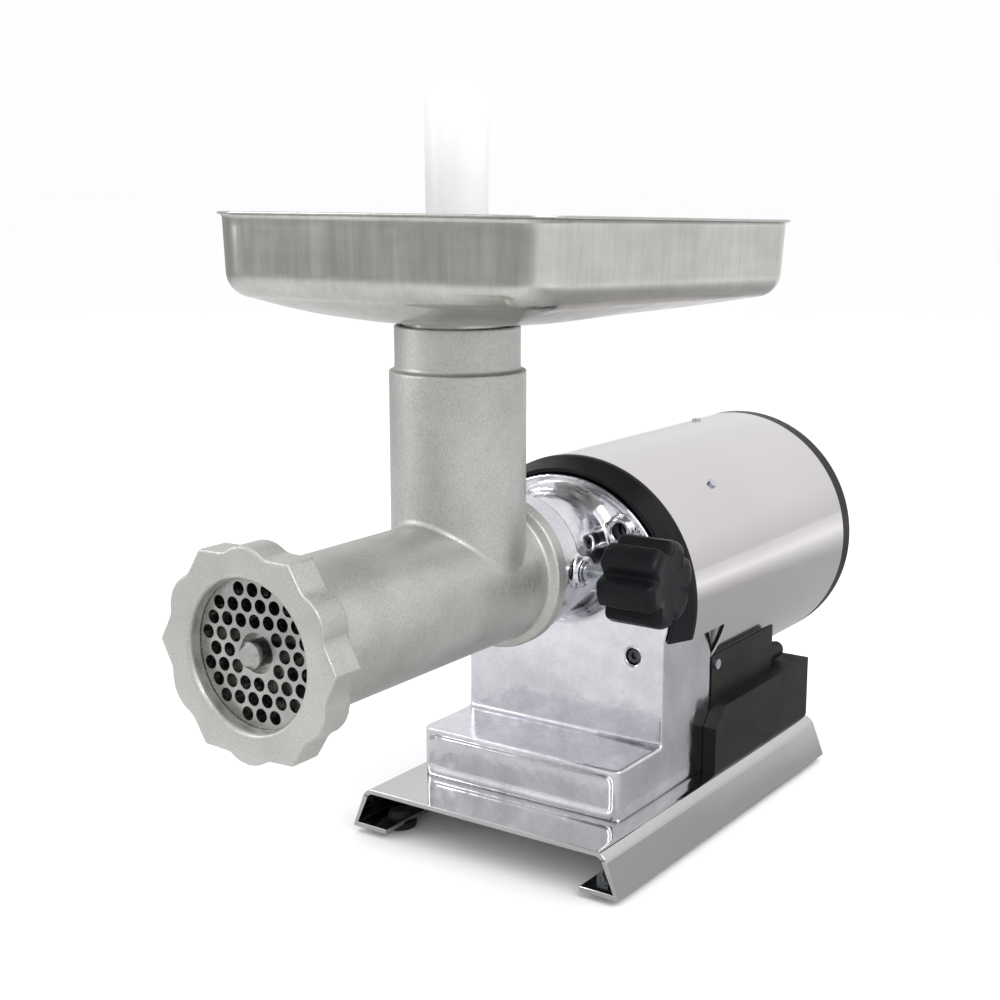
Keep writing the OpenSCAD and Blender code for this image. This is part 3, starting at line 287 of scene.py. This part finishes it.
slot_of = {s["node"]: s["material_slot"] for s in frame["record"]["subparts"]}
body_of = {n: b for b, ns in frame["record"]["behaviour"]["bodies"].items() for n in ns}
for name, o in nodes.items():
    o.data.materials.clear()
    o.data.materials.append(M[slot_of[name]])


# ---------------------------------------------------------------- mesh helpers

def smooth(o, angle):
    o.data.polygons.foreach_set("use_smooth", [True] * len(o.data.polygons))
    o.data.set_sharp_from_angle(angle=math.radians(angle))


def dress(o, node, angle):
    """Gives a piece the looks and the body of the CAD node that it stands for."""
    o.data.materials.clear()
    o.data.materials.append(M[slot_of[node]])
    smooth(o, angle)
    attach(o, body_of[node])


def new_piece(name, verts, faces, node, angle):
    """A mesh piece that stands for a CAD node and rides on its body."""
    me = bpy.data.meshes.new(name)
    me.from_pydata([tuple(v) for v in verts], [], faces)
    me.validate()
    bm = bmesh.new()
    bm.from_mesh(me)
    bmesh.ops.remove_doubles(bm, verts=bm.verts, dist=1e-7)
    bmesh.ops.recalc_face_normals(bm, faces=bm.faces)
    bm.to_mesh(me)
    bm.free()
    o = bpy.data.objects.new(name, me)
    bpy.context.scene.collection.objects.link(o)
    dress(o, node, angle)
    return o


def apply_all(o):
    bpy.context.view_layer.update()
    dg = bpy.context.evaluated_depsgraph_get()
    me = bpy.data.meshes.new_from_object(o.evaluated_get(dg))
    o.modifiers.clear()
    o.data = me


def bevel(o, width, angle):
    bv = o.modifiers.new("edge", "BEVEL")
    bv.width = width * MM
    bv.segments = 2
    bv.limit_method = "ANGLE"
    bv.angle_limit = math.radians(angle)


def cast_copy(node, voxel, passes):
    """A cast part's soft edges: the node's own shape, remeshed finely and relaxed a little."""
    o = bpy.data.objects.new(node + "_cast", nodes[node].data.copy())
    bpy.context.scene.collection.objects.link(o)
    bm = bmesh.new()
    bm.from_mesh(o.data)
    bmesh.ops.remove_doubles(bm, verts=bm.verts, dist=1e-6)
    bm.to_mesh(o.data)
    bm.free()
    remesh = o.modifiers.new("remesh", "REMESH")
    remesh.mode = "VOXEL"
    remesh.voxel_size = voxel * MM
    remesh.adaptivity = 0.0
    relax = o.modifiers.new("relax", "SMOOTH")
    relax.factor = 0.5
    relax.iterations = passes
    apply_all(o)
    dress(o, node, 60)
    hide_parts(node)


def ring_faces(count, rings, closed=False):
    """Faces between rings of count points each. closed joins the last ring to the first."""
    faces = []
    for i in range(rings if closed else rings - 1):
        a, b = i * count, ((i + 1) % rings) * count
        for j in range(count):
            k = (j + 1) % count
            faces.append((a + j, a + k, b + k, b + j))
    return faces


# ---------------------------------------------------------------- measures that the frame gives

neck_y = size("stomper")[2].y
head_top = size("head_body")[1].z
barrel_z = size("hole_plate")[2].z
drum_low, drum_high, _ = size("motor_cover")
drum_r = (drum_high.x - drum_low.x) / 2
motor_z = drum_high.z - drum_r
house_back_y = size("gearbox_housing")[1].y
house_face_y = house_back_y - 60 * MM
# the ring and the drum's front end this far below the motor's axis
side_cut = 20 * MM


# ---------------------------------------------------------------- head

def neck_fillet():
    """The fillet between the neck and the barrel, as if a ball rolled round the corner between them."""
    neck_r, barrel_r, ball_r, root = 36.2 * MM, 38 * MM, 3.6 * MM, 1 * MM
    across, around = 10, 240
    verts = []
    for j in range(around):
        t = TAU * j / around
        c, s = math.cos(t), math.sin(t)
        x, y = (neck_r + ball_r) * c, (neck_r + ball_r) * s
        ball = Vector((x, y, math.sqrt((barrel_r + ball_r) ** 2 - x * x)))
        share = barrel_r / (barrel_r + ball_r)
        to_neck = Vector((neck_r * c, neck_r * s, ball.z)) - ball
        to_barrel = Vector((x * share, y, ball.z * share)) - ball
        whole = to_neck.angle(to_barrel)
        for i in range(across + 1):
            f = i / across
            arc = to_neck * math.sin((1 - f) * whole) + to_barrel * math.sin(f * whole)
            verts.append(ball + arc / math.sin(whole))
        corner_z = math.sqrt(max(barrel_r ** 2 - (neck_r * c) ** 2, 0))
        verts.append(Vector(((neck_r - root) * c, (neck_r - root) * s, corner_z - root)))
    verts = [v + Vector((0, neck_y, barrel_z)) for v in verts]
    new_piece("neck_fillet", verts, ring_faces(across + 2, around, True), "head_body", 60)


# ---------------------------------------------------------------- tray

def rounded_rectangle(half_w, half_l, r, mid_y, n):
    """n points round a rounded rectangle, half of them on its corners whatever its size."""
    pts = []
    per = n // 4
    arc = per // 2
    corners = ((1, 1), (-1, 1), (-1, -1), (1, -1))
    sides = ((-1, 0), (0, -1), (1, 0), (0, 1))
    for q, ((sx, sy), (nx, ny)) in enumerate(zip(corners, sides)):
        cx, cy = sx * (half_w - r), sy * (half_l - r)
        for i in range(arc + 1):
            a = math.radians(90 * (q + i / arc))
            pts.append((cx + r * math.cos(a), cy + r * math.sin(a) + mid_y))
        ax, ay = pts[-1]
        span = 2 * ((half_w - r) if nx else (half_l - r))
        rest = per - arc
        for i in range(1, rest):
            pts.append((ax + nx * span * i / rest, ay + ny * span * i / rest))
    return pts


def tray():
    """The drawn pan: a rolled rim, a drafted wall, a round foot and a belly that closes on the hole."""
    low, high, _ = size("tray_pan")
    lean = math.radians(1.5)
    lip, sheet, draft, corner = 2.5 * MM, 1.5 * MM, 1.5 * MM, 25 * MM
    height, wall, fillet, shoulder = 55.5 * MM, 44 * MM, 14 * MM, 4 * MM
    # the pan's length along its own lean, and how far it reaches in front of the neck's axis
    length, front = 271 * MM, 80 * MM
    hole, flat_r, sleeve_r, gap = 27.25 * MM, 34 * MM, 33.25 * MM, 0.15 * MM
    n, wall_steps, fillet_steps, belly_steps = 320, 8, 12, 18
    fillet_turn = math.radians(80)
    half_w, half_l = (high.x - low.x) / 2 - lip, length / 2
    mid_y = half_l - front
    straight = wall - fillet

    def from_rim(*points):
        """Points given in mm as (inwards, down) from the wall's outer face at the rim."""
        return [(x * MM, height - down * MM) for x, down in points]

    def wall_line(off, r):
        """Down one face of the wall and round its foot of radius r."""
        line = []
        for i in range(1, wall_steps + 1):
            t = i / wall_steps
            line.append((off + draft * t, height - shoulder - (straight - shoulder) * t))
        for i in range(1, fillet_steps + 1):
            a = fillet_turn * i / fillet_steps
            line.append((off + draft + r - r * math.cos(a), height - straight - r * math.sin(a)))
        return line

    rim = from_rim((-2.5, 1.3), (-2.6, 0.8), (-2.4, 0.2), (-1.9, 0.0))
    under = from_rim((-2.0, 1.5), (-1.2, 1.6), (-0.3, 2.4), (0.0, 4.0)) + wall_line(0.0, fillet)
    top = from_rim((-0.6, 0.0), (0.6, 0.3), (1.35, 1.2), (1.5, 4.0)) + wall_line(sheet, fillet - sheet)

    def outline(off):
        return rounded_rectangle(half_w - off, half_l - off, max(corner - off, 4 * MM), mid_y, n)

    def level(off, z):
        return [(x, y, z) for x, y in outline(off)]

    def circle(r, z):
        turns = [math.atan2(y, x) for x, y in outline(top[-1][0])]
        return [(r * math.cos(a), r * math.sin(a), z) for a in turns]

    def belly(off, z, end_r, end_z):
        """Rings from the wall's foot inwards and down to a circle about the hole."""
        rings = []
        for i in range(1, belly_steps + 1):
            t = i / belly_steps
            ring_z = z + (end_z - z) * (0.1 * t + 0.9 * math.sin(math.pi / 2 * t))
            ring = []
            for x, y in outline(off):
                a = math.atan2(y, x)
                ring.append((x + (end_r * math.cos(a) - x) * t, y + (end_r * math.sin(a) - y) * t, ring_z))
            rings.append(ring)
        return rings

    rings = [circle(hole, 1.9 * MM), circle(hole + 0.5 * MM, 2.4 * MM), circle(flat_r, 2.5 * MM)]
    rings += reversed(belly(*top[-1], 44.6 * MM, 2.6 * MM))
    rings += [level(off, z) for off, z in list(reversed(top)) + list(reversed(rim)) + under]
    rings += belly(*under[-1], 45 * MM, 1.05 * MM)
    rings += [circle(flat_r, 1.0 * MM), circle(hole, 1.1 * MM)]
    # the pan leans back a little on the neck's rim
    tray_z = head_top + sleeve_r * math.sin(lean) + gap
    place = Matrix.Translation((0, neck_y, tray_z)) @ Matrix.Rotation(-lean, 4, "X")
    verts = [place @ Vector(p) for ring in rings for p in ring]
    o = new_piece("tray_pan_drawn", verts, ring_faces(n, len(rings), True), "tray_pan", 50)
    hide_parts("tray_pan")


# ---------------------------------------------------------------- clamp knob

def knob():
    """Six lobes with round flutes between them, on a short collar."""
    low, high, mid = size("clamp_knob")
    body_x, collar_r = low.x + 4 * MM, 8 * MM
    lobe_r, crown = (high.y - low.y) / 2 - 0.4 * MM, 0.35 * MM
    n, lobes = 360, 6
    turn = math.radians(191)
    flute_depth, flute_half = 5.6 * MM, math.radians(15)
    verts = []

    def lobed(t, share, flute):
        a = (t - turn - math.pi / lobes) % (TAU / lobes)
        d = min(a, TAU / lobes - a)
        dip = 0.5 + 0.5 * math.cos(math.pi * d / flute_half) if d < flute_half else 0.0
        return (lobe_r + crown * math.cos(lobes * (t - turn))) * share - flute * dip ** 0.8

    def ring(x, radius):
        for j in range(n):
            t = TAU * j / n
            r = radius(t)
            verts.append((x, mid.y + r * math.cos(t), barrel_z + r * math.sin(t)))

    collar = [(low.x, 0.0), (low.x, 7.4 * MM), (low.x + 0.6 * MM, collar_r), (body_x - 0.3 * MM, collar_r)]
    # places along the body, whose length counts as 35, and the share of the full radius there
    body = [(0.0, 0.4), (0.05, 0.84), (0.4, 0.93), (1.2, 0.975), (2.6, 1.0), (8, 1.0), (20, 1.0), (30, 1.0),
            (31.6, 0.99), (32.8, 0.965), (33.7, 0.935), (34.4, 0.895), (34.85, 0.85), (35.0, 0.8),
            (34.9, 0.72), (34.4, 0.6), (34.2, 0.3), (34.2, 0.0)]
    for x, r in collar:
        ring(x, lambda t: r)
    for at, share in body:
        flute = flute_depth * min(1, max(0, (share - 0.6) / 0.3))
        ring(body_x + (high.x - body_x) * at / 35, lambda t: lobed(t, share, flute))
    faces = ring_faces(n, len(collar) + len(body))
    o = new_piece("clamp_knob_moulded", verts, faces, "clamp_knob", 50)
    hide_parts("clamp_knob")


# ---------------------------------------------------------------- base plate

def base():
    """A folded sheet: a flat top, two leaning sides with round bends, and a flange turned in under each."""
    low, high, _ = size("base_plate")
    sheet, bend_r, flange = 3 * MM, 8 * MM, 24.5 * MM
    half_top, half_foot = 85 * MM, (high.x - low.x) / 2
    steps, edge = 20, 0.5 * MM

    def side(inset):
        """One side from its foot up to the end of its bend, this far inside the outer face."""
        half, top, foot = half_top - inset, high.z - inset, half_foot - inset
        r = bend_r - inset
        lean = math.atan2(foot - half, top - low.z)
        line = [(foot, low.z + (inset or 0.8 * MM))]
        for i in range(steps + 1):
            a = lean + (math.pi / 2 - lean) * i / steps
            line.append((half - r + r * math.cos(a), top - r + r * math.sin(a)))
        return line

    def mirrored(line):
        return [(-x, z) for x, z in reversed(line)]

    outer = [(half_foot - flange, low.z), (half_foot - 0.9 * MM, low.z),
             (half_foot - 0.2 * MM, low.z + 0.25 * MM)] + side(0.0)
    inner = list(reversed(side(sheet))) + [(half_foot - flange, low.z + sheet)]
    across = outer + mirrored(outer)
    loop = across + mirrored(inner) + inner
    ys = (low.y, low.y + edge, high.y - edge, high.y)
    verts = [(x, y, z) for y in ys for x, z in loop]
    n, m = len(loop), len(across)
    faces = ring_faces(n, len(ys))
    # each end is a strip between the outer line and the inner one
    for end in (0, len(ys) - 1):
        for i in range(m - 1):
            c, d = (n - 1 - round(k * (n - m - 1) / (m - 1)) for k in (i + 1, i))
            strip = (i, i + 1, c, d) if c != d else (i, i + 1, c)
            faces.append(tuple(end * n + v for v in strip))
    o = new_piece("base_plate_folded", verts, faces, "base_plate", 35)
    bevel(o, 0.35, 60)
    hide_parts("base_plate")


# ---------------------------------------------------------------- motor drum

def drum():
    """The drum's sheet, open below its front where the gear housing stands."""
    y0, y1 = drum_low.y, drum_high.y
    notch_y = house_back_y + 0.2 * MM
    half_notch = math.acos(side_cut / drum_r)
    # columns that meet the notch's edges exactly: first those of the full length, then the notch's
    full, cut = 220, 160
    turns = [-math.pi / 2 + half_notch + (TAU - 2 * half_notch) * j / full for j in range(full)]
    turns += [-math.pi / 2 - half_notch + 2 * half_notch * j / cut for j in range(cut)]
    ys = (y0, (y0 + notch_y) / 2, notch_y, notch_y + 40 * MM, y1 - 40 * MM, y1)
    notch_rows, n = 2, len(turns)
    verts = [(drum_r * math.cos(t), y, motor_z + drum_r * math.sin(t)) for y in ys for t in turns]
    faces = [f for i, f in enumerate(ring_faces(n, len(ys))) if i // n >= notch_rows or i % n < full]
    o = new_piece("motor_cover_sheet", verts, faces, "motor_cover", 60)
    bm = bmesh.new()
    bm.from_mesh(o.data)
    for f in bm.faces:
        c = f.calc_center_median()
        if f.normal.dot(Vector((c.x, 0, c.z - motor_z))) < 0:
            f.normal_flip()
    loose = [v for v in bm.verts if not v.link_faces]
    bmesh.ops.delete(bm, geom=loose, context="VERTS")
    bm.to_mesh(o.data)
    bm.free()
    sheet = o.modifiers.new("sheet", "SOLIDIFY")
    sheet.thickness = 1.2 * MM
    sheet.offset = -1
    apply_all(o)
    smooth(o, 50)
    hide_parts("motor_cover")


def front_ring():
    """The black ring in front of the drum. It ends level with the drum's side edges, clear of the pedestal."""
    mouth_r, bore, pedestal = 72 * MM, 2.9 * MM, 69.3 * MM
    bead = [(mouth_r + r * MM, house_face_y + y * MM) for r, y in (
        (0.6, 6.1), (0.6, 0.8), (0.9, 0.3), (1.6, -0.2), (2.5, -0.4), (3.4, -0.1))]
    rim = [(drum_r - r * MM, drum_low.y - y * MM) for r, y in ((1.1, 4.3), (0.5, 3.4), (0.15, 2), (0, 0))]
    profile = [(mouth_r - bore, drum_low.y), (mouth_r - bore, house_face_y + 6.1 * MM)] + bead + rim
    n, m = 220, len(profile)
    verts = []
    for j in range(n + 1):
        for r, y in profile:
            end = math.asin(side_cut / r)
            t = -end + (math.pi + 2 * end) * j / n
            if math.sin(t) < 0 and r < mouth_r:
                r = max(r, pedestal / abs(math.cos(t)))
            verts.append((r * math.cos(t), y, motor_z + r * math.sin(t)))
    faces = ring_faces(m, n + 1)
    faces.append(tuple(range(m)))
    faces.append(tuple(n * m + i for i in reversed(range(m))))
    o = new_piece("motor_front_ring_moulded", verts, faces, "motor_front_ring", 45)
    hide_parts("motor_front_ring")


# ---------------------------------------------------------------- stomper

def stomper():
    """A turned foot that fills the throat, a slender rod and a domed end."""
    low, high, mid = size("stomper")
    rod_r, waist, dome = 16.5 * MM, 0.8 * MM, 12.9 * MM
    foot_r, foot_z = (high.x - low.x) / 2, low.z + 70 * MM
    rod_z, dome_z = foot_z + 8 * MM, high.z - dome
    rod_steps, dome_steps, n = 8, 16, 128
    profile = [(0, low.z), (foot_r - 1.5 * MM, low.z), (foot_r - 0.5 * MM, low.z + 0.5 * MM),
               (foot_r, low.z + 1.5 * MM), (foot_r, foot_z - 1.5 * MM),
               (foot_r - 0.5 * MM, foot_z - 0.4 * MM), (foot_r - 2 * MM, foot_z),
               (rod_r + 2 * MM, foot_z + 3.2 * MM), (rod_r, foot_z + 5 * MM)]
    for i in range(rod_steps + 1):
        t = i / rod_steps
        profile.append((rod_r - waist * (1 - t), rod_z + (dome_z - rod_z) * t))
    for i in range(1, dome_steps + 1):
        a = math.pi / 2 * i / dome_steps
        profile.append((rod_r * math.cos(a), dome_z + dome * math.sin(a)))
    verts = []
    for r, z in profile:
        for j in range(n):
            t = TAU * j / n
            verts.append((mid.x + r * math.cos(t), mid.y + r * math.sin(t), z))
    o = new_piece("stomper_moulded", verts, ring_faces(n, len(profile)), "stomper", 50)
    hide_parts("stomper")


cast_copy("head_body", 0.9, 2)
cast_copy("ring_nut", 0.75, 5)
cast_copy("gearbox_housing", 1.1, 3)
neck_fillet()
tray()
knob()
base()
drum()
front_ring()
stomper()

# small bevels in mm on the CAD parts that stay
for name, width in {"electrical_box": 0.7, "cable_gland": 0.4, "clamp_stud": 0.4, "rear_cap": 0.3,
                    "rocker_bezel": 0.4, "base_feet": 0.4, "tray_collar": 0.3, "gearbox_cover": 0.3,
                    "cutting_knife": 0.3, "output_shaft": 0.3, "box_screws": 0.4, "cover_screws": 0.4,
                    "power_rocker": 0.4, "reset_button": 0.3}.items():
    bevel(nodes[name], width, 40)


# ---------------------------------------------------------------- floor, light and camera

def math_node(nt, op, a, b):
    n = nt.nodes.new("ShaderNodeMath")
    n.operation = op
    for socket, v in zip(n.inputs, (a, b)):
        if isinstance(v, (int, float)):
            socket.default_value = v
        else:
            nt.links.new(v, socket)
    return n.outputs[0]


def floor_material():
    """Pale. In reflections it shows a painted shade that darkens towards one side and further off, standing in
    for darker surroundings for the metal parts to reflect.
    """
    m, nt, b = new_material("floor")
    at = coords(nt)
    apart = nt.nodes.new("ShaderNodeSeparateXYZ")
    nt.links.new(at, apart.inputs["Vector"])
    distance = nt.nodes.new("ShaderNodeVectorMath")
    distance.operation = "LENGTH"
    nt.links.new(at, distance.inputs[0])
    # painted shade seen only in reflections: darker towards one side and further off
    diagonal = math_node(nt, "ADD", apart.outputs["Y"], apart.outputs["X"])
    painted_shade_near = remap(nt, diagonal, 0.72, 0.36, -0.3, 0.3)
    painted_shade_distant = remap(nt, diagonal, 0.4, 0.95, -1.0, 1.0)
    far = remap(nt, distance.outputs["Value"], 0.0, 1.0, 0.7, 1.5)
    tone = math_node(nt, "ADD", math_node(nt, "MULTIPLY", painted_shade_distant, far),
                     math_node(nt, "MULTIPLY", painted_shade_near, math_node(nt, "SUBTRACT", 1.0, far)))
    mirrored = nt.nodes.new("ShaderNodeCombineColor")
    for channel in range(3):
        nt.links.new(tone, mirrored.inputs[channel])
    ray = nt.nodes.new("ShaderNodeLightPath")
    pale = colours(nt, noise(nt, at, 3, 2), [(0.3, grey(0.94)), (0.7, grey(0.95))])
    # glossy rays see the painted shade instead of the pale floor
    nt.links.new(mix_colour(nt, ray.outputs["Is Glossy Ray"], pale, mirrored.outputs["Color"], "MIX"),
                 b.inputs["Base Color"])
    b.inputs["Roughness"].default_value = 0.9
    b.inputs["Specular IOR Level"].default_value = 0.05
    return m


def studio_floor():
    half = 80
    me = bpy.data.meshes.new("floor")
    me.from_pydata([(-half, -half, 0), (half, -half, 0), (half, half, 0), (-half, half, 0)], [], [(0, 1, 2, 3)])
    floor = bpy.data.objects.new("floor", me)
    bpy.context.scene.collection.objects.link(floor)
    me.materials.append(floor_material())


def studio_world():
    """Soft light from above that fades downwards. The camera sees an even, nearly white background."""
    world = bpy.data.worlds.new("studio")
    bpy.context.scene.world = world
    world.use_nodes = True
    nt = world.node_tree
    nt.nodes.clear()
    out = nt.nodes.new("ShaderNodeOutputWorld")
    background = nt.nodes.new("ShaderNodeBackground")
    direction = nt.nodes.new("ShaderNodeTexCoord")
    apart = nt.nodes.new("ShaderNodeSeparateXYZ")
    nt.links.new(direction.outputs["Generated"], apart.inputs["Vector"])
    sky = colours(nt, remap(nt, apart.outputs["Z"], 0.0, 1.0, -1.0, 1.0),
                  [(0.5, (0.8, 0.8, 0.79)), (0.62, (0.98, 0.97, 0.98)), (1.0, (1.1, 1.09, 1.12))])
    ray = nt.nodes.new("ShaderNodeLightPath")
    seen = nt.nodes.new("ShaderNodeRGB")
    seen.outputs[0].default_value = (0.99, 0.99, 0.99, 1)
    nt.links.new(mix_colour(nt, ray.outputs["Is Camera Ray"], sky, seen.outputs[0], "MIX"),
                 background.inputs["Color"])
    nt.links.new(background.outputs["Background"], out.inputs["Surface"])


def area(name, at, w, h, power, colour):
    """A rectangular lamp that looks at the machine's middle."""
    d = bpy.data.lights.new(name, "AREA")
    d.shape = "RECTANGLE"
    d.size, d.size_y = w, h
    d.energy = power
    d.color = colour
    o = bpy.data.objects.new(name, d)
    bpy.context.scene.collection.objects.link(o)
    o.location = at
    o.rotation_euler = (Vector((0, 0, 0.2)) - Vector(at)).to_track_quat("-Z", "Y").to_euler()


def camera():
    """The photo's own view, solved from its ellipses and the tray's edges."""
    turn, rise, lens = math.radians(34.63), math.radians(11.31), 56.98
    back = Vector((math.sin(turn) * math.cos(rise), -math.cos(turn) * math.cos(rise), math.sin(rise)))
    right = Vector((math.cos(turn), math.sin(turn), 0))
    axes = Matrix((right, back.cross(right), back)).transposed().to_4x4()
    d = bpy.data.cameras.new("camera")
    d.sensor_width = 36
    d.lens = lens
    d.clip_start = 0.02
    o = bpy.data.objects.new("camera", d)
    bpy.context.scene.collection.objects.link(o)
    o.matrix_world = Matrix.Translation((0.49006, neck_y - 0.67046, 0.38321)) @ axes
    bpy.context.scene.camera = o


studio_floor()
studio_world()
area("key", (1.5, -0.6, 1.7), 1.2, 1.2, 22, (1.0, 0.985, 0.99))
area("left", (-1.6, -1.3, 1.0), 0.35, 1.4, 12, (0.97, 0.98, 1.0))
area("top", (0.0, 0.4, 1.9), 1.6, 1.0, 8, (1, 1, 1))
camera()
bpy.context.scene.view_settings.view_transform = "Standard"
